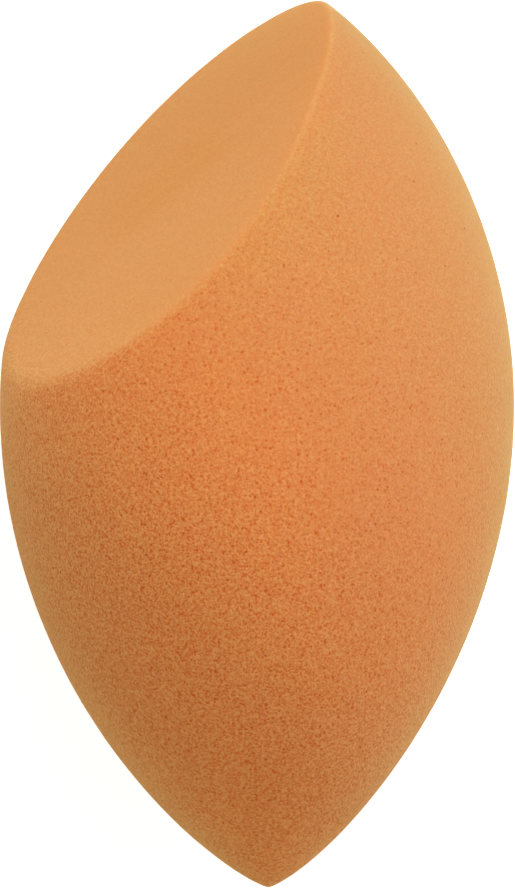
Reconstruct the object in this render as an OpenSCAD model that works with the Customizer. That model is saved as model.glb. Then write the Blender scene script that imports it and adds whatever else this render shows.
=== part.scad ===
// Makeup sponge: one moulded foam body, olive shaped, with one slanted flat cut across its crown.
// The body lies on its side. +Z is up, +Y runs towards the cut end, and the tip points towards -Y.
// The origin is the centre of the small flat on which the foam rests.

/* [Foam body] */
// Widest diameter of the body, at the belly
belly_d = 38; // [30:0.1:48]
// Distance along the axis from the belly to the end of the tip
tip_reach = 35.5; // [28:0.1:46]
// How the tip end tapers: 0.5 gives a round end, 1 gives a pointed one
tip_taper_share = 0.785; // [0.6:0.005:0.95]
// How the crown end tapers, on the same scale
crown_taper_share = 0.69; // [0.5:0.01:0.85]

/* [Slanted cut] */
// Distance along the axis from the belly to the cut
cut_reach = 24.9; // [20:0.1:30]
// Length of foam that the cut takes off the crown, along the axis
cut_waste = 7.7; // [5:0.1:12]
// Angle between the axis and the direction in which the cut faces
cut_lean = 51.9; // [35:0.1:60]
// How far the cut is turned about the axis, from facing sideways towards facing up
cut_turn = 31.9; // [0:0.1:60]
// Breadth of foam over which the skin rolls over the rim into the cut
rim_roll = 0.6; // [0.4:0.1:4]

/* [Resting flat] */
// Distance along the axis from the belly towards the tip at which the body rests
rest_reach = 4.4; // [2:0.1:7]
// Depth to which the foam is pressed flat where it rests
rest_depth = 0.5; // [0.2:0.05:0.8]

/* [Hidden] */

belly_r = belly_d / 2;
// Where the crown would close if it weren't cut
crown_reach = cut_reach + cut_waste;
cut_face = [sin(cut_lean), 0, cos(cut_lean)];
// The cut's least distance from the middle of the belly
cut_gap = cut_reach * cos(cut_lean);
// Foam left standing on the cut once its rim is rolled, which is then trimmed off flat
cut_trim = rim_roll / 40;

// Meridians round the body, and rows of points on each: along the skin, and across the rim
meridians = 84;
skin_rows = 30;
rim_rows = 6;
// Crowds the rows of the skin towards the tip, where it curves most
row_crowding = 1.5;
// Halvings in the search for the height of a point
search_steps = 30;
// Side of the blocks that take foam away, larger than the whole body
waste_size = 2 * (tip_reach + crown_reach + belly_d);

// Radius of the uncut body at height h above the belly; below it, h is negative
function end_reach(h) = h < 0 ? tip_reach : crown_reach;
function taper(h) = h < 0 ? tip_taper_share : crown_taper_share;
function skin_r(h) = belly_r * pow(max(1 - pow(h / end_reach(h), 2), 0), taper(h));
function skin_point(turn, h) = [skin_r(h) * cos(turn), skin_r(h) * sin(turn), h];

// Rays run from the middle of the belly. Each ends where it meets the skin or the cut, whichever comes first.
function facing(p) = p * cut_face / norm(p);
function length_to_cut(p) = facing(p) > 0 ? (cut_gap + cut_trim) / facing(p) : undef;
function beyond_cut(turn, h) =
    let (p = skin_point(turn, h), to_cut = length_to_cut(p))
    is_undef(to_cut) ? -norm([belly_r, end_reach(h)]) : norm(p) - to_cut;

// The rim is rolled where the two lengths differ by less than rim_roll
function rolled_length(to_skin, to_cut) =
    let (overlap = max(rim_roll - abs(to_skin - to_cut), 0))
    min(to_skin, to_cut) - pow(overlap, 2) / (4 * rim_roll);
function foam_point(turn, h) =
    let (p = skin_point(turn, h), to_skin = norm(p), to_cut = length_to_cut(p))
    is_undef(to_cut) ? p : p / to_skin * rolled_length(to_skin, to_cut);

// Height on a meridian at which the skin stands a given length beyond the cut
function height_beyond(turn, beyond, low = -tip_reach, high = crown_reach, steps = search_steps) =
    let (middle = (low + high) / 2)
    steps == 0 ? middle
    : beyond_cut(turn, middle) < beyond ? height_beyond(turn, beyond, middle, high, steps - 1)
    : height_beyond(turn, beyond, low, middle, steps - 1);

// One meridian from the first point after the tip to the edge of the flat cut
function meridian(turn) =
    let (rim_start = height_beyond(turn, -rim_roll))
    concat(
        [for (i = [1 : skin_rows])
            foam_point(turn, -tip_reach + (rim_start + tip_reach) * pow(i / skin_rows, row_crowding))],
        [for (i = [1 : 2 * rim_rows])
            foam_point(turn, height_beyond(turn, rim_roll * (i / rim_rows - 1)))]
    );

// The closed olive with its rolled rim, about the +Z axis, with the cut facing +X
module olive() {
    rows = skin_rows + 2 * rim_rows;
    columns = [for (m = [0 : meridians - 1]) meridian(360 * m / meridians)];
    tip = meridians * rows;
    crown = tip + 1;
    points = concat(
        [for (column = columns) each column],
        [[0, 0, -tip_reach], [0, 0, (cut_gap + cut_trim) / cos(cut_lean)]]
    );
    function at(m, row) = (m % meridians) * rows + row;
    faces = concat(
        [for (m = [0 : meridians - 1]) [tip, at(m, 0), at(m + 1, 0)]],
        [for (m = [0 : meridians - 1], row = [0 : rows - 2]) each [
            [at(m, row), at(m, row + 1), at(m + 1, row + 1)],
            [at(m, row), at(m + 1, row + 1), at(m + 1, row)]
        ]],
        [for (m = [0 : meridians - 1]) [at(m, rows - 1), crown, at(m + 1, rows - 1)]]
    );
    polyhedron(points, faces);
}

// Everything further out than the flat cut
module beyond_the_cut() {
    rotate([0, cut_lean, 0])
        translate([-waste_size / 2, -waste_size / 2, cut_gap])
        cube(waste_size);
}

// The underside is level at rest_reach, which tilts the axis by the slope of the skin there
rest_slope = 2 * tip_taper_share * belly_r * rest_reach / pow(tip_reach, 2)
    * pow(1 - pow(rest_reach / tip_reach, 2), tip_taper_share - 1);
rest_tilt = atan(rest_slope);
rest_r = skin_r(-rest_reach);
rest_y = rest_r * sin(rest_tilt) - rest_reach * cos(rest_tilt);
rest_z = -rest_r * cos(rest_tilt) - rest_reach * sin(rest_tilt);

// Lays a body that stands on its tip down on its side, over the flat on which it rests
module laid_down() {
    translate([0, -rest_y, -rest_z - rest_depth])
        rotate([rest_tilt - 90, 0, 0])
        rotate([0, 0, 180 + cut_turn])
        children();
}

module sponge_body() {
    color([0.88, 0.56, 0.31])
    difference() {
        laid_down() difference() {
            olive();
            beyond_the_cut();
        }
        translate([-waste_size / 2, -waste_size / 2, -waste_size]) cube(waste_size);
    }
}

sponge_body();
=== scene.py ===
import math

import bpy
from bpy.props import FloatProperty, FloatVectorProperty, IntProperty, PointerProperty
from mathutils import Matrix, Vector


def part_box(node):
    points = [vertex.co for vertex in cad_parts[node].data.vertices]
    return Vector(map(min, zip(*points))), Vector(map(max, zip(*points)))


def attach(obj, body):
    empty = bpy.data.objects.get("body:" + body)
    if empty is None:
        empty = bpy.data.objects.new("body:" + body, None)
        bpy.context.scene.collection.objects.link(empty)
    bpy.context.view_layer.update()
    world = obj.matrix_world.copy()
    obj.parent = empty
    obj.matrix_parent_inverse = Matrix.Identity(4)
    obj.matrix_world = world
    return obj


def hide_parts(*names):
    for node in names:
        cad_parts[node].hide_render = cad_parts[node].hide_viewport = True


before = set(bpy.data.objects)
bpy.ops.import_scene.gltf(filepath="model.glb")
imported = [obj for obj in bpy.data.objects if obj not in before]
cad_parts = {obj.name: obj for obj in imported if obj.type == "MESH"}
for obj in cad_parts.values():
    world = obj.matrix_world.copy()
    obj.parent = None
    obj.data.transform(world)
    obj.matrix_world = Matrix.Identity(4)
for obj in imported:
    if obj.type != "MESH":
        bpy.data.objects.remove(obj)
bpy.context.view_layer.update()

bl_info = {
    "name": "Makeup Sponge",
    "version": (1, 0, 0),
    "blender": (4, 5, 0),
    "location": "View3D > Sidebar > Sponge",
    "description": "An olive-shaped foam sponge with one slanted cut, and the white table that it lies on",
    "category": "Object",
}

MM = 0.001
cad_low, cad_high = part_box("sponge_body")


class SpongeShape(bpy.types.PropertyGroup):
    """Sizes of the foam body. Its rule is that of the solid in the frame."""

    belly_diameter: FloatProperty(
        name="Belly Diameter",
        description="Widest diameter of the body",
        default=round(cad_high[0] - cad_low[0], 4),
        min=0.02,
        max=0.06,
        precision=4,
        unit="LENGTH",
    )
    tip_reach: FloatProperty(
        name="Tip Reach",
        description="Distance along the axis from the belly to the end of the tip",
        default=35.57 * MM,
        min=0.02,
        max=0.06,
        precision=4,
        unit="LENGTH",
    )
    tip_taper: FloatProperty(
        name="Tip Taper",
        description="How the tip end tapers: 0.5 gives a round end, 1 gives a pointed one",
        default=0.784,
        min=0.5,
        max=1.0,
    )
    crown_taper: FloatProperty(
        name="Crown Taper",
        description="How the crown end tapers, on the same scale",
        default=0.699,
        min=0.5,
        max=1.0,
    )
    cut_reach: FloatProperty(
        name="Cut Reach",
        description="Distance along the axis from the belly to the cut",
        default=24.70 * MM,
        min=0.01,
        max=0.04,
        precision=4,
        unit="LENGTH",
    )
    cut_waste: FloatProperty(
        name="Cut Waste",
        description="Length of foam that the cut takes off the crown, along the axis",
        default=7.79 * MM,
        min=0.002,
        max=0.02,
        precision=4,
        unit="LENGTH",
    )
    cut_lean: FloatProperty(
        name="Cut Lean",
        description="Angle between the axis and the direction in which the cut faces",
        default=math.radians(52.07),
        min=math.radians(20),
        max=math.radians(70),
        subtype="ANGLE",
    )
    cut_turn: FloatProperty(
        name="Cut Turn",
        description="How far the cut is turned about the axis, from facing sideways towards facing up",
        default=math.radians(31.96),
        min=0.0,
        max=math.radians(90),
        subtype="ANGLE",
    )
    rim_roll: FloatProperty(
        name="Rim Roll",
        description="Breadth of foam over which the skin rolls over the rim into the cut",
        default=0.55 * MM,
        min=0.0002,
        max=0.004,
        precision=5,
        unit="LENGTH",
    )
    cut_wave: FloatProperty(
        name="Cut Wave",
        description="How far the cut bends in and out along its slope, as the foam gave way under the blade",
        default=-0.91 * MM,
        min=-0.003,
        max=0.003,
        precision=5,
        unit="LENGTH",
    )
    cut_sag: FloatProperty(
        name="Cut Sag",
        description="How far both ends of the cut curl away from its middle",
        default=0.22 * MM,
        min=-0.003,
        max=0.003,
        precision=5,
        unit="LENGTH",
    )
    cut_twist: FloatProperty(
        name="Cut Twist",
        description="How far the corners of the cut stand out of its plane",
        default=0.18 * MM,
        min=-0.003,
        max=0.003,
        precision=5,
        unit="LENGTH",
    )
    cut_fan: FloatProperty(
        name="Cut Fan",
        description="How far the cut tilts sideways towards both its ends",
        default=0.25 * MM,
        min=-0.003,
        max=0.003,
        precision=5,
        unit="LENGTH",
    )
    cut_bulge: FloatProperty(
        name="Cut Bulge",
        description="How far the middle of the cut stands out beyond its rim",
        default=0.3 * MM,
        min=-0.003,
        max=0.003,
        precision=5,
        unit="LENGTH",
    )
    cut_crease: FloatProperty(
        name="Cut Crease",
        description="Height of the soft step that crosses the cut, where the blade was moved on",
        default=0.04 * MM,
        min=-0.003,
        max=0.003,
        precision=5,
        unit="LENGTH",
    )
    tip_bend: FloatProperty(
        name="Tip Bend",
        description="How far the soft tip bends sideways",
        default=0.84 * MM,
        min=-0.003,
        max=0.003,
        precision=5,
        unit="LENGTH",
    )
    rest_reach: FloatProperty(
        name="Rest Reach",
        description="Distance along the axis from the belly towards the tip at which the body rests",
        default=4.4 * MM,
        min=0.001,
        max=0.01,
        precision=4,
        unit="LENGTH",
    )
    rest_depth: FloatProperty(
        name="Rest Depth",
        description="Depth to which the foam is pressed flat where it rests",
        default=0.5 * MM,
        min=0.0,
        max=0.002,
        precision=5,
        unit="LENGTH",
    )
    relief: FloatProperty(
        name="Relief",
        description="Height of the gentle unevenness of the moulded skin",
        default=0.05 * MM,
        min=0.0,
        max=0.001,
        precision=5,
        unit="LENGTH",
    )
    meridians: IntProperty(
        name="Meridians",
        description="Columns of faces round the body",
        default=360,
        min=24,
        max=720,
    )
    rows: IntProperty(
        name="Rows",
        description="Rows of faces from the tip to the middle of the cut",
        default=270,
        min=24,
        max=540,
    )


class FoamFinish(bpy.types.PropertyGroup):
    """Colours and grain of the foam."""

    skin_color: FloatVectorProperty(
        name="Skin Color",
        description="Colour of the moulded skin",
        subtype="COLOR",
        size=3,
        default=(0.745, 0.279, 0.0905),
        min=0.0,
        max=1.0,
    )
    # Painted light: the skin turns to this paler, less red colour on its side towards the light
    lit_side_color: FloatVectorProperty(
        name="Crown Color",
        description="Colour of the smoother skin near the cut",
        subtype="COLOR",
        size=3,
        default=(0.705, 0.297, 0.0935),
        min=0.0,
        max=1.0,
    )
    cut_color: FloatVectorProperty(
        name="Cut Color",
        description="Colour of the sliced foam",
        subtype="COLOR",
        size=3,
        default=(0.825, 0.356, 0.122),
        min=0.0,
        max=1.0,
    )
    # Deep pores: their own redder colour, with painted shade in the hole
    pore_color: FloatVectorProperty(
        name="Pore Color",
        description="Colour in the depth of the pores",
        subtype="COLOR",
        size=3,
        default=(0.50, 0.065, 0.03),
        min=0.0,
        max=1.0,
    )
    edge_color: FloatVectorProperty(
        name="Edge Color",
        description="Tint of the light that the fine cell walls catch at grazing angles",
        subtype="COLOR",
        size=3,
        default=(0.85, 0.9, 0.4),
        min=0.0,
        max=1.0,
    )
    pore_spacing: FloatProperty(
        name="Pore Spacing",
        description="Distance from one open pore to the next",
        default=0.33 * MM,
        min=0.0001,
        max=0.005,
        precision=5,
        unit="LENGTH",
    )
    pore_depth: FloatProperty(
        name="Pore Depth",
        description="Depth of the pores in the relief",
        default=0.06 * MM,
        min=0.0,
        max=0.001,
        precision=5,
        unit="LENGTH",
    )


class StageSettings(bpy.types.PropertyGroup):
    """Table, lights and camera."""

    top_power: FloatProperty(
        name="Top Power",
        description="Power of the soft lamp above the sponge",
        default=0.316,
        min=0.0,
        unit="POWER",
    )
    top_color: FloatVectorProperty(
        name="Top Color",
        description="Colour of the soft lamp above the sponge",
        subtype="COLOR",
        size=3,
        default=(0.85, 1.0, 0.80),
        min=0.0,
        max=1.0,
    )
    side_power: FloatProperty(
        name="Side Power",
        description="Power of the soft lamp at the right",
        default=0.233,
        min=0.0,
        unit="POWER",
    )
    side_color: FloatVectorProperty(
        name="Side Color",
        description="Colour of the soft lamp at the right",
        subtype="COLOR",
        size=3,
        default=(0.45, 0.57, 1.0),
        min=0.0,
        max=1.0,
    )
    left_power: FloatProperty(
        name="Left Power",
        description="Power of the soft lamp at the upper left",
        default=0.178,
        min=0.0,
        unit="POWER",
    )
    left_color: FloatVectorProperty(
        name="Left Color",
        description="Colour of the soft lamp at the upper left",
        subtype="COLOR",
        size=3,
        default=(1.0, 0.70, 0.44),
        min=0.0,
        max=1.0,
    )
    front_power: FloatProperty(
        name="Front Power",
        description="Power of the warm lamp at the lower right",
        default=0.155,
        min=0.0,
        unit="POWER",
    )
    front_color: FloatVectorProperty(
        name="Front Color",
        description="Colour of the warm lamp at the lower right",
        subtype="COLOR",
        size=3,
        default=(1.0, 0.475, 0.0),
        min=0.0,
        max=1.0,
    )
    fill_color: FloatVectorProperty(
        name="Fill Color",
        description="Light that comes from all round",
        subtype="COLOR",
        size=3,
        default=(0.305, 0.299, 0.227),
        min=0.0,
        max=2.0,
    )
    table_color: FloatVectorProperty(
        name="Table Color",
        description="Colour of the table",
        subtype="COLOR",
        size=3,
        default=(0.8, 0.8, 0.8),
        min=0.0,
        max=1.0,
    )
    table_glow: FloatVectorProperty(
        name="Table Glow",
        description="Light that the camera sees on the table besides the light that falls there",
        subtype="COLOR",
        size=3,
        default=(0.71, 0.75, 0.80),
        min=0.0,
        max=1.0,
    )
    camera_elevation: FloatProperty(
        name="Camera Elevation",
        description="Angle of the view above the table",
        default=math.radians(81.8),
        min=0.0,
        max=math.radians(90),
        subtype="ANGLE",
    )
    camera_distance: FloatProperty(
        name="Camera Distance",
        description="Distance from the camera to the middle of the belly",
        default=0.7,
        min=0.1,
        max=10.0,
        unit="LENGTH",
    )
    view_height: FloatProperty(
        name="View Height",
        description="Height of the picture at the middle of the belly",
        default=65.65 * MM,
        min=0.01,
        max=1.0,
        precision=4,
        unit="LENGTH",
    )


class Wire:
    """A socket of a node tree, or the tree alone. Arithmetic on a socket adds Math nodes to its tree."""

    def __init__(self, tree, socket=None):
        self.tree = tree
        self.socket = socket

    def node(self, kind, settings, values, output=0):
        """Adds a node: first its settings, then the values or links of its sockets. Returns one output."""
        added = self.tree.nodes.new(kind)
        for name, setting in settings.items():
            setattr(added, name, setting)
        for name, value in values.items():
            if isinstance(value, Wire):
                self.tree.links.new(value.socket, added.inputs[name])
            else:
                added.inputs[name].default_value = value
        return None if output is None else Wire(self.tree, added.outputs[output])

    def output(self, name):
        """Another output of the node that this socket belongs to."""
        return Wire(self.tree, self.socket.node.outputs[name])

    def math(self, operation, *values):
        """A Math node on these numbers."""
        return self.node("ShaderNodeMath", {"operation": operation}, dict(enumerate(values)))

    def __add__(self, other):
        return self.math("ADD", self, other)

    def __radd__(self, other):
        return self.math("ADD", other, self)

    def __sub__(self, other):
        return self.math("SUBTRACT", self, other)

    def __rsub__(self, other):
        return self.math("SUBTRACT", other, self)

    def __mul__(self, other):
        return self.math("MULTIPLY", self, other)

    def __rmul__(self, other):
        return self.math("MULTIPLY", other, self)

    def __truediv__(self, other):
        return self.math("DIVIDE", self, other)

    def __rtruediv__(self, other):
        return self.math("DIVIDE", other, self)

    def __pow__(self, other):
        return self.math("POWER", self, other)

    def __neg__(self):
        return self.math("MULTIPLY", self, -1.0)

    def __abs__(self):
        return self.math("ABSOLUTE", self)

    def sine(self):
        return self.math("SINE", self)

    def cosine(self):
        return self.math("COSINE", self)

    def at_least(self, other):
        return self.math("MAXIMUM", self, other)

    def at_most(self, other):
        return self.math("MINIMUM", self, other)

    def within(self, low, high):
        """This number, kept between two others."""
        return self.at_least(low).at_most(high)

    def below(self, other):
        """1 where this number is below the other one, and 0 elsewhere."""
        return self.math("LESS_THAN", self, other)

    def smooth(self, low, high):
        """0 up to low, 1 from high on, and a smooth step between them. Low may be the greater one."""
        return self.node(
            "ShaderNodeMapRange",
            {"interpolation_type": "SMOOTHSTEP"},
            {"Value": self, "From Min": low, "From Max": high},
            "Result",
        )

    def vector(self, operation, *values, output="Vector"):
        """A Vector Math node on these vectors."""
        return self.node("ShaderNodeVectorMath", {"operation": operation}, dict(enumerate(values)), output)

    def dot(self, other):
        return self.vector("DOT_PRODUCT", self, other, output="Value")

    def length(self):
        return self.vector("LENGTH", self, output="Value")

    def direction(self):
        """This vector, brought to length one."""
        return self.vector("NORMALIZE", self)

    def plus(self, other):
        return self.vector("ADD", self, other)

    def minus(self, other):
        return self.vector("SUBTRACT", self, other)

    def times(self, number):
        """This vector times a number."""
        return self.node(
            "ShaderNodeVectorMath",
            {"operation": "SCALE"},
            {"Vector": self, "Scale": number},
            "Vector",
        )

    def tinted(self, tint):
        """This colour, with its red, green and blue multiplied by those of a tint."""
        return self.vector("MULTIPLY", self, tint)

    def xyz(self, x, y, z):
        """A vector of three numbers."""
        return self.node("ShaderNodeCombineXYZ", {}, {"X": x, "Y": y, "Z": z})

    def part(self, axis):
        """One coordinate of this vector: X, Y or Z."""
        return self.node("ShaderNodeSeparateXYZ", {}, {0: self}, axis)

    def turned(self, axis, angle):
        """This vector, turned about an axis through the origin."""
        return self.node(
            "ShaderNodeVectorRotate",
            {"rotation_type": axis},
            {"Vector": self, "Angle": angle},
            "Vector",
        )

    def looped(self, count, first, one_turn):
        """Passes named numbers through the nodes that one_turn adds, this many times over."""
        begin = self.tree.nodes.new("GeometryNodeRepeatInput")
        end = self.tree.nodes.new("GeometryNodeRepeatOutput")
        begin.pair_with_output(end)
        end.repeat_items.clear()
        for name in first:
            end.repeat_items.new("FLOAT", name)
        begin.inputs["Iterations"].default_value = count
        after = one_turn(**{name: Wire(self.tree, begin.outputs[name]) for name in first})
        for name in first:
            self.tree.links.new(first[name].socket, begin.inputs[name])
            self.tree.links.new(after[name].socket, end.inputs[name])
        return {name: Wire(self.tree, end.outputs[name]) for name in first}


# Shares of the rows, counted from the tip, at which the rim begins and ends
RIM_BEGINS = 0.6
RIM_ENDS = 0.7
# Crowds the rows of the skin towards the tip, where it curves most
ROW_CROWDING = 1.3
# Halvings in each search for a height
SEARCH_STEPS = 26
# The least cosine between a ray and the way that the cut faces
LEAST_FACING = 0.05
# Along the face in half lengths and across it in slice radii, the wave stays the same past this place
WAVE_END = 1.2
# How much of a straight slope is taken off the wave
WAVE_BACK = 0.6
# The radius of the body's slice under the cut, over half the breadth of the face, squared
FACE_ROUNDNESS = 0.58
# The crease runs aslant over the face. Lengths here are shares of the face's half length.
CREASE_ACROSS = 0.39
CREASE_ALONG = 0.7
CREASE_SHIFT = 0.075
CREASE_BREADTH = 0.045
# How far the past_rim attribute grows from the rim to the middle of the cut
PAST_RIM_GROWTH = 10.0 * MM
# A share below this counts as none
NEXT_TO_NOTHING = 1e-6
SWELLS_PER_METRE = 420.0
# The higher this power, the closer to its end the tip bends
BEND_POWER = 4.0
# Height of the soft roll onto the resting flat, as a share of the flat's depth
PRESS_SHARE = 0.4


class BodyRule:
    """The shape of the foam as expressions on its sizes, about the +Z axis, with the cut facing +X.

    Rays run from the middle of the belly. Each ends at the skin or the cut, whichever it meets first.
    """

    def __init__(self, start, sizes):
        self.start = start
        self.sizes = sizes
        self.belly_r = sizes["belly_diameter"] / 2
        self.crown_reach = sizes["cut_reach"] + sizes["cut_waste"]
        sine = sizes["cut_lean"].sine()
        cosine = sizes["cut_lean"].cosine()
        self.cut_face = start.xyz(sine, 0.0, cosine)
        self.cut_slope = start.xyz(-cosine, 0.0, sine)
        self.cut_gap = sizes["cut_reach"] * cosine
        self.slice_r = self.skin_r(sizes["cut_reach"])

    def skin_r(self, height):
        """Radius of the uncut body at a height above the belly."""
        low = height.below(0.0)
        end = self.crown_reach + (self.sizes["tip_reach"] - self.crown_reach) * low
        taper = self.sizes["crown_taper"] + (self.sizes["tip_taper"] - self.sizes["crown_taper"]) * low
        return self.belly_r * (1.0 - (height / end) ** 2.0).at_least(0.0) ** taper

    def skin_point(self, turn, height):
        """Point of the skin on the meridian at this turn."""
        radius = self.skin_r(height)
        return self.start.xyz(radius * turn.cosine(), radius * turn.sine(), height)

    def cut_length(self, ray):
        """Length of a ray to the cut, which is a plane with its waves and its swell added."""
        facing = ray.dot(self.cut_face).at_least(LEAST_FACING)
        to_plane = self.cut_gap / facing
        along = (ray.dot(self.cut_slope) * to_plane - self.sizes["face_middle"]) / self.sizes["face_half"]
        across = ray.part("Y") * to_plane / self.slice_r

        dome = (1.0 - along * along - across * across * FACE_ROUNDNESS).at_least(0.0)
        past_crease = across * CREASE_ACROSS - along * CREASE_ALONG + CREASE_SHIFT
        step = past_crease.smooth(-CREASE_BREADTH, CREASE_BREADTH)
        raised = dome * (self.sizes["cut_bulge"] + step * self.sizes["cut_crease"])

        along = along.within(-WAVE_END, WAVE_END)
        across = across.within(-WAVE_END, WAVE_END)
        wave = self.sizes["cut_wave"] * (along ** 3.0 - along * WAVE_BACK)
        sag = self.sizes["cut_sag"] * along * along
        twist = self.sizes["cut_twist"] * along * across
        fan = self.sizes["cut_fan"] * along * along * across
        return (self.cut_gap + wave + sag + twist + fan + raised) / facing

    def past_cut(self, turn, height):
        """How much further than the cut the skin stands, on the ray towards it."""
        point = self.skin_point(turn, height)
        return point.length() - self.cut_length(point.direction())

    def height_past(self, turn, past):
        """Height on a meridian at which the skin stands a given length beyond the cut, found by halving."""
        span = self.crown_reach + self.sizes["tip_reach"]

        def halve(height, step):
            short = self.past_cut(turn, height + step).below(past)
            return {"height": height + step * short, "step": step / 2}

        first = {"height": -self.sizes["tip_reach"], "step": span / 2}
        return self.start.looped(SEARCH_STEPS, first, halve)["height"]

    def rim_and_skin(self, turn, row):
        """Points from the tip to the rim's inner edge, and how far each stands past the cut's edge."""
        roll = self.sizes["rim_roll"]
        over_rim = ((row - RIM_BEGINS) / (RIM_ENDS - RIM_BEGINS)).within(0.0, 1.0)
        found = self.height_past(turn, (over_rim * 2.0 - 1.0) * roll)
        up_skin = (row / RIM_BEGINS).at_most(1.0) ** ROW_CROWDING
        height = (found + self.sizes["tip_reach"]) * up_skin - self.sizes["tip_reach"]

        skin = self.skin_point(turn, height)
        to_skin = skin.length()
        to_cut = self.cut_length(skin.direction())
        past = to_skin - to_cut
        overlap = (roll - abs(past)).at_least(0.0)
        rolled = to_skin.at_most(to_cut) - overlap * overlap / (roll * 4.0)
        return skin.direction().times(rolled), past

    def foam_point(self, turn, row):
        """Point of the foam, and how far it lies past the rim, towards the middle of the cut."""
        rim_point, past = self.rim_and_skin(turn, row)
        over_cut = ((row - RIM_ENDS) / (1.0 - RIM_ENDS)).within(0.0, 1.0)
        pole = self.start.xyz(0.0, 0.0, self.sizes["cut_reach"])
        inward = rim_point.plus(pole.minus(rim_point).times(over_cut)).direction()
        on_cut = inward.times(self.cut_length(inward))
        is_cut = 1.0 - over_cut.below(NEXT_TO_NOTHING)
        point = rim_point.plus(on_cut.minus(rim_point).times(is_cut))
        past = past + (self.sizes["rim_roll"] + over_cut * PAST_RIM_GROWTH - past) * is_cut
        return point, past

    def uneven(self, point):
        """The point, moved in or out by the fine relief of the foam."""
        swell = self.start.node(
            "ShaderNodeTexNoise",
            {"noise_dimensions": "3D"},
            {"Vector": point, "Scale": SWELLS_PER_METRE, "Detail": 2.0, "Roughness": 0.5},
            "Fac",
        )
        return point.plus(point.direction().times((swell - 0.5) * self.sizes["relief"]))

    def laid_down(self, point):
        """The point once the tip leans and the body lies on its side, pressed flat where it rests."""
        towards_tip = (-point.part("Z") / self.sizes["tip_reach"]).at_least(0.0)
        bend = towards_tip ** BEND_POWER * self.sizes["tip_bend"]
        lying = point.turned("Z_AXIS", self.sizes["cut_turn"] + math.pi)
        lying = lying.turned("X_AXIS", self.sizes["tilt"] - math.pi / 2)
        lying = lying.plus(self.start.xyz(bend, self.sizes["belly_y"], self.sizes["belly_z"]))
        z = lying.part("Z")
        press = self.sizes["rest_depth"] * PRESS_SHARE
        pressed = (press - abs(z)).at_least(0.0)
        z = z.at_least(0.0) + pressed * pressed / (press * 4.0)
        return self.start.xyz(lying.part("X"), lying.part("Y"), z)


def foam_body_tree(shape, material):
    """The geometry nodes that bend the rows of a sphere into the foam body."""
    tree = bpy.data.node_groups.new("foam_body_rule", "GeometryNodeTree")
    tree.interface.new_socket("Body", in_out="OUTPUT", socket_type="NodeSocketGeometry")
    labels = tree_inputs(shape)
    identifiers = {}
    for key, (label, kind) in labels.items():
        identifiers[key] = tree.interface.new_socket(label, in_out="INPUT", socket_type=kind).identifier
    group_inputs = tree.nodes.new("NodeGroupInput")
    sizes = {key: Wire(tree, group_inputs.outputs[label]) for key, (label, _) in labels.items()}

    start = Wire(tree)
    body = start.node(
        "GeometryNodeMeshUVSphere",
        {},
        {"Segments": sizes["meridians"], "Rings": sizes["rows"], "Radius": 1.0},
        "Mesh",
    )
    place = start.node("GeometryNodeInputPosition", {}, {})
    turn = start.math("ARCTAN2", place.part("Y"), place.part("X"))
    row = 1.0 - start.math("ARCCOSINE", place.part("Z").within(-1.0, 1.0)) / math.pi
    rule = BodyRule(start, sizes)
    point, past_rim = rule.foam_point(turn, row)
    lying = rule.laid_down(rule.uneven(point))

    body = start.node(
        "GeometryNodeStoreNamedAttribute",
        {"data_type": "FLOAT", "domain": "POINT"},
        {"Geometry": body, "Name": "past_rim", "Value": past_rim},
    )
    body = start.node("GeometryNodeSetPosition", {}, {"Geometry": body, "Position": lying})
    body = start.node("GeometryNodeSetShadeSmooth", {}, {"Geometry": body, "Shade Smooth": True})
    body = start.node("GeometryNodeRealizeInstances", {}, {"Geometry": body})
    body = start.node("GeometryNodeSetMaterial", {}, {"Geometry": body, "Material": material})
    start.node("NodeGroupOutput", {}, {"Body": body}, None)
    return tree, identifiers


# Inputs of the tree that are worked out from the other sizes before it runs
WORKED_OUT = {
    "face_middle": "Face Middle",
    "face_half": "Face Half",
    "tilt": "Tilt",
    "belly_y": "Belly Y",
    "belly_z": "Belly Z",
}
SOCKET_KINDS = {"FLOAT": "NodeSocketFloat", "INT": "NodeSocketInt"}


def tree_inputs(shape):
    """Label and kind of each input of the body's tree."""
    inputs = {}
    for prop in shape.bl_rna.properties:
        if prop.type in SOCKET_KINDS:
            inputs[prop.identifier] = (prop.name, SOCKET_KINDS[prop.type])
    for key, label in WORKED_OUT.items():
        inputs[key] = (label, "NodeSocketFloat")
    return inputs


def skin_radius(shape, height):
    """Radius of the uncut body at a height above the belly, as a plain number."""
    if height < 0:
        end, taper = shape.tip_reach, shape.tip_taper
    else:
        end, taper = shape.cut_reach + shape.cut_waste, shape.crown_taper
    return shape.belly_diameter / 2 * max(1 - (height / end) ** 2, 0) ** taper


def face_ends(shape):
    """How far the flat cut reaches down and up its slope, from its point nearest to the belly's middle."""
    sine, cosine = math.sin(shape.cut_lean), math.cos(shape.cut_lean)
    ends = []
    for side in (1.0, -1.0):
        low, high = -shape.tip_reach, shape.cut_reach + shape.cut_waste
        for _ in range(SEARCH_STEPS):
            height = (low + high) / 2
            radius = side * skin_radius(shape, height)
            if radius * sine + (height - shape.cut_reach) * cosine < 0:
                low = height
            else:
                high = height
        ends.append(height * sine - radius * cosine)
    return ends


def face_place(shape):
    """Middle and half of the length of the flat cut along its slope."""
    low, high = face_ends(shape)
    return (low + high) / 2, (high - low) / 2


def resting_place(shape):
    """Tilt of the body on its flat, and the place of its belly's middle over the flat."""
    share = shape.rest_reach / shape.tip_reach
    rest_r = skin_radius(shape, -shape.rest_reach)
    slope = 2 * shape.tip_taper * rest_r * share / shape.tip_reach / (1 - share ** 2)
    tilt = math.atan(slope)
    belly_y = shape.rest_reach * math.cos(tilt) - rest_r * math.sin(tilt)
    belly_z = rest_r * math.cos(tilt) + shape.rest_reach * math.sin(tilt) - shape.rest_depth
    return tilt, belly_y, belly_z


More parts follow.
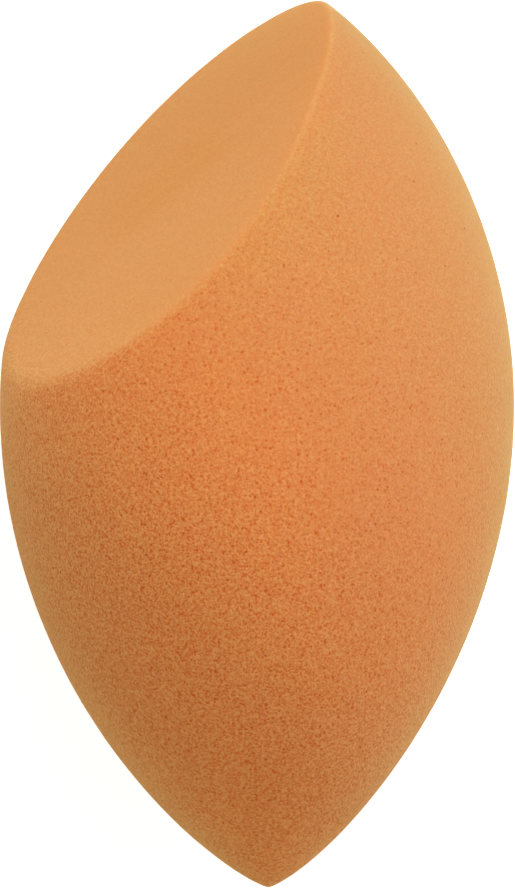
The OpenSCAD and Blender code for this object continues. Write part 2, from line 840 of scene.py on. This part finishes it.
# Sockets of a Mix node for its factor, its two colours and the resulting colour
MIX_FACTOR = 0
MIX_FIRST = 6
MIX_SECOND = 7
MIX_RESULT = 2

# Ways along which the foam changes. Right, left, upper and lower are as seen in the picture.
TOWARD_LIGHT = (0.65, 0.76, 0.0)
# Ways across and along the band of painted shade where the crease crosses the cut, and the band's place
ACROSS_CREASE_SHADE = (0.614, -0.789, 0.0)
ALONG_CREASE_SHADE = (0.789, 0.614, 0.0)
CREASE_SHADE_ACROSS = -18.7 * MM
CREASE_SHADE_ALONG = -0.15 * MM

# A fade names its way and the two places in millimetres between which it rises from 0 to 1
PORE_FADE = ("light", -8.0, 30.0)
# Painted light: the lit-side colour fades in towards the light
LIT_SIDE_FADE = ("light", -2.0, 16.0)
RIM_HIGHLIGHT_FADE = ("y", 12.0, 19.0)
EDGE_DRAWN_IN_FADE = ("x", -5.0, -13.0)

# Tints that are laid on one after the other, each with its fades. A tint multiplies red, green and blue.
SKIN_TINTS = {
    "left belly": ((1.045, 1.025, 1.0), [("light", -16.0, -6.0), ("light", 5.0, -3.0), ("x", 9.0, 1.0)]),
    # Painted shade: darker on the side of the belly turned away from the light
    "shaded low belly": ((0.975, 0.975, 0.97), [("light", -9.0, -16.0)]),
    # Painted shade: redder and darker lower right flank, which takes back the greenish light of the side
    # lamp and the sheen there
    "shaded right flank": ((1.03, 0.86, 0.82), [("z", 26.5, 19.0), ("x", 2.0, 9.0), ("y", -4.0, 8.0)]),
    # Painted light: paler lower left flank towards the tip, as if lit from below by the table
    "lit left flank": ((1.1, 1.13, 1.12), [("z", 26.5, 19.0), ("x", 2.0, -4.0), ("y", -12.0, -24.0)]),
    # Painted light: the end of the tip is paler, standing in for light that the table throws back onto it
    "tip": ((1.07, 1.12, 1.14), [("y", -27.5, -33.0)]),
    "near rim": ((0.99, 1.05, 1.03), [("past_rim", -9.0, -2.0), ("light", 0.0, 8.0), ("y", 25.0, 17.0)]),
}
CUT_TINTS = {
    # Painted shade: the cut darkens towards its top end, where less light reaches it
    "top": ((0.94, 0.885, 0.83), [("y", 6.0, 36.0)]),
    "foot": ((1.0, 0.965, 0.94), [("y", 14.0, 7.0)]),
    # Painted shade: the half of the cut that turns away from the light is darker
    "shaded upper half": ((1.0, 0.975, 0.955), [("across", 4.0, -1.0)]),
    # Painted light: the half of the cut that turns towards the light is paler
    "lit lower half": ((1.015, 1.025, 1.045), [("across", -1.0, 4.0)]),
    # Painted shade: a faint darker, yellower band along the soft step of the crease that runs aslant over
    # the cut
    "crease shade": (
        (0.99, 0.955, 0.86),
        [("across", -2.4, -0.4), ("across", 2.6, 0.4), ("along", -1.0, 3.0), ("along", 13.0, 9.5)],
    ),
}
# Painted highlight along the rim
RIM_HIGHLIGHT_TINT = (1.0, 1.1, 1.22)
# The grain's colour: paler on its ridges, which is painted highlight, and darker in its hollows, which is
# painted shade
RIDGE_HIGHLIGHT_TINT = (1.08, 1.41, 1.87)
HOLLOW_SHADE_TINT = (0.86, 0.44, 0.23)
REDDER_TINT = (1.015, 0.965, 0.88)
PALER_TINT = (0.985, 1.035, 1.12)

# The cut begins between these lengths past the rim. Its edge is ragged, and drawn in at its left end.
CUT_EDGE = (-0.5 * MM, 0.4 * MM)
EDGE_CLOUD = 0.45 * MM
EDGE_RAGGED = 0.7 * MM
EDGE_DRAWN_IN = 0.5 * MM
# Painted highlight: the pale line along the upper part of the rim, where its edge catches the light
RIM_HIGHLIGHT_PAST = -0.05 * MM
RIM_HIGHLIGHT_HALF = 0.42 * MM

# The grain is made of cells and of clouds, each cloud with its size and weight
GRAIN_CELL_SHARE = 0.6
GRAIN_CELL_MEAN = 0.45
GRAIN_CELL_WEIGHT = 0.8
GRAIN_CLOUDS = ((0.34 * MM, 0.35), (0.18 * MM, 1.3), (0.09 * MM, 1.0))
# Each fade takes its weight off the strength of the grain
GRAIN_STRENGTH = 1.5
GRAIN_FADES = ((0.95, ("light", -20.0, 4.0)), (0.2, ("light", 10.0, 24.0)), (0.25, ("light", -14.0, -24.0)))
CUT_SMOOTHNESS = 0.48

# The edges of dots are distances from the middle of a cell, as shares of its size
PORE_EDGE = (0.0, 0.65)
PORE_LEAST = 0.3
PORE_WEIGHT = 0.85
PORE_FADING = 0.9
HOLES = {"spacing_share": 2.4, "edge": (0.06, 0.2), "chances": (0.45, 0.95)}
HOLE_WEIGHT = 0.9
# Rare deep pores, dark red in their depth: their own redder colour and painted shade in the hole
DEEP_PORES = {"spacing_share": 6.0, "edge": (0.03, 0.075), "chances": (0.3, 0.6)}
DEEP_PORE_STRENGTH = 0.75
MEAN_PORE_DEPTH = 0.26

# Depths at which the colour is that of the ridges and that of the hollows
MEAN_DEPTH = 0.38
RIDGE_DEPTH = -0.4
HOLLOW_DEPTH = 1.1
# Clouds that make the foam a little redder here and paler there
TINT_CLOUD = 0.15 * MM
TINT_STRENGTH = 2.0
TINT_CUT_LOSS = 0.35


class FoamPattern:
    """Colour and depth of the foam's surface, as expressions on the place on the body.

    A share is 0 where something has no effect, and 1 where it has its full effect.
    """

    def __init__(self, start, finish):
        self.start = start
        self.finish = finish
        self.place = start.node("ShaderNodeTexCoord", {}, {}, "Object")
        self.ways = {
            "x": self.place.part("X"),
            "y": self.place.part("Y"),
            "z": self.place.part("Z"),
            "light": self.place.dot(TOWARD_LIGHT),
            "across": self.place.dot(ACROSS_CREASE_SHADE) - CREASE_SHADE_ACROSS,
            "along": self.place.dot(ALONG_CREASE_SHADE) - CREASE_SHADE_ALONG,
            "past_rim": start.node("ShaderNodeAttribute", {"attribute_name": "past_rim"}, {}, "Fac"),
        }
        drawn_in = self.share([EDGE_DRAWN_IN_FADE]) * EDGE_DRAWN_IN
        ragged = self.ways["past_rim"] + self.clouds(EDGE_CLOUD, 1.0) * EDGE_RAGGED - drawn_in
        self.cut = ragged.smooth(*CUT_EDGE)
        self.skin = 1.0 - self.cut

    def share(self, fades):
        """The product of some fades."""
        return math.prod(self.ways[way].smooth(begin * MM, end * MM) for way, begin, end in fades)

    def clouds(self, size, detail=0.0):
        """Cloudy noise about zero with features of this size."""
        noise = self.start.node(
            "ShaderNodeTexNoise",
            {"noise_dimensions": "3D"},
            {"Vector": self.place, "Scale": 1.0 / size, "Detail": detail},
            "Fac",
        )
        return noise - 0.5

    def cells(self, spacing_share):
        """Distance to the middle of the nearest cell, in cells, and a random share for each cell."""
        size = spacing_share * self.finish.pore_spacing
        distance = self.start.node(
            "ShaderNodeTexVoronoi",
            {"voronoi_dimensions": "3D", "feature": "F1"},
            {"Vector": self.place, "Scale": 1.0 / size, "Randomness": 1.0},
            "Distance",
        )
        return distance, distance.output("Color").part("X")

    def dots(self, spacing_share, edge, chances):
        """One soft dot in each cell, fainter where the cell's random share is low."""
        distance, chance = self.cells(spacing_share)
        return (1.0 - distance.smooth(*edge)) * chance.smooth(*chances)

    def mix(self, share, first, second):
        """The first colour where the share is 0, and the second one where it is 1."""
        return self.start.node(
            "ShaderNodeMix",
            {"data_type": "RGBA"},
            {MIX_FACTOR: share, MIX_FIRST: first, MIX_SECOND: second},
            MIX_RESULT,
        )

    def toned(self, color, share, tint):
        """The colour, tinted as far as the share says."""
        return self.mix(share, color, color.tinted(tint))

    def grain(self):
        """Fine leathery grain, which fades towards the light and on the cut."""
        distance, _ = self.cells(GRAIN_CELL_SHARE)
        grain = (GRAIN_CELL_MEAN - distance) * GRAIN_CELL_WEIGHT
        grain = grain + sum(self.clouds(size) * weight for size, weight in GRAIN_CLOUDS)
        strength = GRAIN_STRENGTH - sum(self.share([fade]) * weight for weight, fade in GRAIN_FADES)
        return grain * strength * (1.0 - self.cut * CUT_SMOOTHNESS)

    def pores(self):
        """Small pores and fewer, larger holes in the skin, which fade towards the light."""
        distance, chance = self.cells(1.0)
        depths = chance * chance * (1.0 - PORE_LEAST) + PORE_LEAST
        pores = (1.0 - distance.smooth(*PORE_EDGE)) * depths * PORE_WEIGHT
        holes = self.dots(**HOLES) * HOLE_WEIGHT
        strength = (1.0 - self.share([PORE_FADE]) * PORE_FADING) * self.skin
        return (pores + holes - MEAN_PORE_DEPTH) * strength

    def skin_color(self):
        """The moulded skin: redder on the belly, and turning towards the light to the paler lit-side colour,
        which is painted light. Painted shade darkens the low belly and reddens the right flank. Painted
        light makes the lower left flank and the tip's end paler. The skin is also a little paler on the left
        belly and near the rim.
        """
        color = self.mix(
            self.share([LIT_SIDE_FADE]),
            (*self.finish.skin_color, 1.0),
            (*self.finish.lit_side_color, 1.0),
        )
        for tint, fades in SKIN_TINTS.values():
            color = self.toned(color, self.share(fades), tint)
        return color

    def cut_color(self):
        """The sliced foam. It has painted shade at its top end, on its upper half and in a band along the
        crease that runs aslant over it, painted light on its lower half, and a yellower foot.
        """
        color = self.start.xyz(*self.finish.cut_color)
        for tint, fades in CUT_TINTS.values():
            color = self.toned(color, self.share(fades), tint)
        return color

    def color(self, depth):
        """Colour of the foam, paler on its ridges and darker in its hollows: painted highlight on the ridges
        and painted shade in the hollows, laid on the foam's own grain, with a painted highlight along the
        rim and painted shade in rare deep pores.
        """
        color = self.mix(self.cut, self.skin_color(), self.cut_color())
        # Painted highlight: a pale line along the upper part of the rim
        rim_highlight = 1.0 - abs(self.ways["past_rim"] - RIM_HIGHLIGHT_PAST) / RIM_HIGHLIGHT_HALF
        color = self.toned(color, rim_highlight.at_least(0.0) * self.share([RIM_HIGHLIGHT_FADE]), RIM_HIGHLIGHT_TINT)

        # Painted shade in the hollows and painted highlight on the ridges
        hollow_shade = (depth - RIDGE_DEPTH) / (HOLLOW_DEPTH - RIDGE_DEPTH)
        color = self.mix(hollow_shade, color.tinted(RIDGE_HIGHLIGHT_TINT), color.tinted(HOLLOW_SHADE_TINT))
        paler = self.clouds(TINT_CLOUD) * TINT_STRENGTH * (1.0 - self.cut * TINT_CUT_LOSS) + 0.5
        color = self.mix(paler, color.tinted(REDDER_TINT), color.tinted(PALER_TINT))
        # Painted shade in rare deep pores, with their own redder colour
        deep_pore_shade = self.dots(**DEEP_PORES) * self.skin * DEEP_PORE_STRENGTH
        return self.mix(deep_pore_shade, color, (*self.finish.pore_color, 1.0))


def foam_material(finish):
    """Foam with a fine leathery skin, open pores and a smoother, paler cut."""
    material = bpy.data.materials.new("foam")
    material.use_nodes = True
    material.node_tree.nodes.clear()
    start = Wire(material.node_tree)
    pattern = FoamPattern(start, finish)
    depth = pattern.grain() + pattern.pores() + MEAN_DEPTH
    bump = start.node(
        "ShaderNodeBump",
        {},
        {"Strength": 0.8, "Distance": finish.pore_depth, "Height": -depth},
        "Normal",
    )
    foam = start.node(
        "ShaderNodeBsdfPrincipled",
        {},
        {
            "Base Color": pattern.color(depth),
            "Roughness": 0.9,
            "Normal": bump,
            "Specular IOR Level": 0.2,
            "Subsurface Weight": 0.8,
            "Subsurface Radius": (1.5, 1.0, 0.6),
            "Subsurface Scale": 0.002,
            "Sheen Weight": 0.4,
            "Sheen Roughness": 0.4,
            "Sheen Tint": (*finish.edge_color, 1.0),
        },
    )
    start.node("ShaderNodeOutputMaterial", {}, {"Surface": foam}, None)
    return material


class SPONGE_OT_foam_body(bpy.types.Operator):
    """Shape the foam body by its rule and give it its foam"""

    bl_idname = "sponge.foam_body"
    bl_label = "Foam Body"

    def execute(self, context):
        shape = context.scene.sponge_shape
        material = foam_material(context.scene.sponge_finish)
        tree, identifiers = foam_body_tree(shape, material)
        body = bpy.data.objects.new("foam_body", bpy.data.meshes.new("foam_body"))
        context.scene.collection.objects.link(body)
        modifier = body.modifiers.new("foam_body_rule", "NODES")
        modifier.node_group = tree
        worked_out = dict(zip(WORKED_OUT, (*face_place(shape), *resting_place(shape))))
        for key, identifier in identifiers.items():
            modifier[identifier] = worked_out[key] if key in worked_out else getattr(shape, key)
        evaluated = body.evaluated_get(context.evaluated_depsgraph_get())
        mesh = bpy.data.meshes.new_from_object(evaluated)
        body.modifiers.clear()
        body.data = mesh
        if not mesh.polygons:
            raise RuntimeError("the foam body has no faces")
        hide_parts("sponge_body")
        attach(body, "root")
        return {"FINISHED"}


TABLE_HALF = 3.0
# Distances from the sponge between which the near glow of the table gives way to the far one
GLOW_NEAR = 0.15
GLOW_FAR = 0.6
LAMP_SIZE = 0.2
LAMP_DISTANCE = 0.25
# Turn of each lamp from the right, seen from above, and its elevation, in degrees
LAMP_PLACES = {
    "top": (60, 60),
    "side": (30, 30),
    "left": (160, 35),
    "front": (-45, 50),
}
SENSOR_WIDTH = 36.0
# In the picture, the camera aims this far to the right of the middle of the belly and below it
AIM_RIGHT = 0.039 * MM
AIM_DOWN = 2.825 * MM


def seen_directly(start):
    """1 for rays from the camera, and for those that mirrors and glass pass on."""
    path = start.node("ShaderNodeLightPath", {}, {}, "Is Camera Ray")
    mirrored = path.output("Is Glossy Ray")
    passed = path.output("Is Transmission Ray")
    return path.at_least(mirrored).at_least(passed)


def table_material(stage):
    """Matt white, which shows shadows and glows so that the camera sees it as white as the room."""
    material = bpy.data.materials.new("white_table")
    material.use_nodes = True
    material.node_tree.nodes.clear()
    start = Wire(material.node_tree)
    matt = start.node("ShaderNodeBsdfDiffuse", {}, {"Color": (*stage.table_color, 1.0)})
    far_color = (1.0 - light * color for light, color in zip(stage.fill_color, stage.table_color))
    near_glow = start.node("ShaderNodeEmission", {}, {"Color": (*stage.table_glow, 1.0), "Strength": 1.0})
    far_glow = start.node("ShaderNodeEmission", {}, {"Color": (*far_color, 1.0), "Strength": 1.0})
    far = start.node("ShaderNodeTexCoord", {}, {}, "Object").length().smooth(GLOW_NEAR, GLOW_FAR)
    glow = start.node("ShaderNodeMixShader", {}, {0: far, 1: near_glow, 2: far_glow})
    bright = start.node("ShaderNodeAddShader", {}, {0: matt, 1: glow})
    surface = start.node("ShaderNodeMixShader", {}, {0: seen_directly(start), 1: matt, 2: bright})
    start.node("ShaderNodeOutputMaterial", {}, {"Surface": surface}, None)
    return material


def add_table(context, stage):
    """A white table at height zero."""
    half = TABLE_HALF
    corners = [(-half, -half, 0.0), (half, -half, 0.0), (half, half, 0.0), (-half, half, 0.0)]
    mesh = bpy.data.meshes.new("table")
    mesh.from_pydata(corners, [], [(0, 1, 2, 3)])
    mesh.materials.append(table_material(stage))
    table = bpy.data.objects.new("table", mesh)
    context.scene.collection.objects.link(table)


def add_lamp(context, name, power, color, turn, elevation):
    """A square soft lamp that faces the sponge. Its turn is counted from the right, seen from above."""
    lamp = bpy.data.lights.new(name, "AREA")
    lamp.shape = "SQUARE"
    lamp.size = LAMP_SIZE
    lamp.energy = power
    lamp.color = color
    direction = Vector((
        math.cos(elevation) * math.cos(turn),
        math.cos(elevation) * math.sin(turn),
        math.sin(elevation),
    ))
    lamp_object = bpy.data.objects.new(name, lamp)
    lamp_object.location = direction * LAMP_DISTANCE
    lamp_object.rotation_euler = direction.to_track_quat("Z", "Y").to_euler()
    context.scene.collection.objects.link(lamp_object)


def add_lamps(context, stage):
    """Four soft lamps round the sponge, each with its own tint."""
    for name, (turn, elevation) in LAMP_PLACES.items():
        power = getattr(stage, name + "_power")
        color = getattr(stage, name + "_color")
        add_lamp(context, name + "_lamp", power, color, math.radians(turn), math.radians(elevation))


def add_room(context, stage):
    """Even light from all round, and a room that looks white."""
    world = bpy.data.worlds.new("white_room")
    world.use_nodes = True
    world.node_tree.nodes.clear()
    start = Wire(world.node_tree)
    fill = start.node("ShaderNodeBackground", {}, {"Color": (*stage.fill_color, 1.0), "Strength": 1.0})
    white = start.node("ShaderNodeBackground", {}, {"Color": (1.0, 1.0, 1.0, 1.0), "Strength": 1.0})
    surface = start.node("ShaderNodeMixShader", {}, {0: seen_directly(start), 1: fill, 2: white})
    start.node("ShaderNodeOutputWorld", {}, {"Surface": surface}, None)
    context.scene.world = world


def add_camera(context, stage, shape):
    """The camera looks down on the sponge from the photograph's side."""
    lens = bpy.data.cameras.new("camera")
    lens.sensor_width = SENSOR_WIDTH
    lens.lens = SENSOR_WIDTH * stage.camera_distance / stage.view_height
    lens.clip_start = 0.01
    lens.clip_end = 20.0
    camera = bpy.data.objects.new("camera", lens)
    context.scene.collection.objects.link(camera)
    elevation = stage.camera_elevation
    towards = Vector((0.0, -math.cos(elevation), math.sin(elevation)))
    up = Vector((0.0, math.sin(elevation), math.cos(elevation)))
    right = Vector((1.0, 0.0, 0.0))
    _, belly_y, belly_z = resting_place(shape)
    aim = Vector((0.0, belly_y, belly_z)) + right * AIM_RIGHT - up * AIM_DOWN
    turn = Matrix((right, up, towards)).transposed()
    camera.matrix_world = Matrix.Translation(aim + towards * stage.camera_distance) @ turn.to_4x4()
    context.scene.camera = camera


class SPONGE_OT_stage(bpy.types.Operator):
    """Set up the white table, the soft light and the camera"""

    bl_idname = "sponge.stage"
    bl_label = "Stage"

    def execute(self, context):
        stage = context.scene.sponge_stage
        add_table(context, stage)
        add_lamps(context, stage)
        add_room(context, stage)
        add_camera(context, stage, context.scene.sponge_shape)
        context.scene.view_settings.view_transform = "Standard"
        return {"FINISHED"}


class SPONGE_PT_pieces(bpy.types.Panel):
    """Buttons that build the pieces, and their settings"""

    bl_idname = "SPONGE_PT_pieces"
    bl_label = "Makeup Sponge"
    bl_space_type = "VIEW_3D"
    bl_region_type = "UI"
    bl_category = "Sponge"

    def draw(self, context):
        for operator in OPERATORS:
            self.layout.operator(operator.bl_idname)
        for settings in SETTINGS:
            box = self.layout.box()
            group = getattr(context.scene, settings)
            for prop in group.bl_rna.properties:
                if prop.type in {"FLOAT", "INT"}:
                    box.prop(group, prop.identifier)


SETTINGS = {
    "sponge_shape": SpongeShape,
    "sponge_finish": FoamFinish,
    "sponge_stage": StageSettings,
}
OPERATORS = (SPONGE_OT_foam_body, SPONGE_OT_stage)


def register():
    for name, group in SETTINGS.items():
        bpy.utils.register_class(group)
        setattr(bpy.types.Scene, name, PointerProperty(type=group))
    for operator in OPERATORS:
        bpy.utils.register_class(operator)
    bpy.utils.register_class(SPONGE_PT_pieces)


def unregister():
    bpy.utils.unregister_class(SPONGE_PT_pieces)
    for operator in reversed(OPERATORS):
        bpy.utils.unregister_class(operator)
    for name, group in SETTINGS.items():
        delattr(bpy.types.Scene, name)
        bpy.utils.unregister_class(group)


def main():
    register()
    bpy.ops.sponge.foam_body()
    bpy.ops.sponge.stage()


if __name__ == "__main__":
    main()
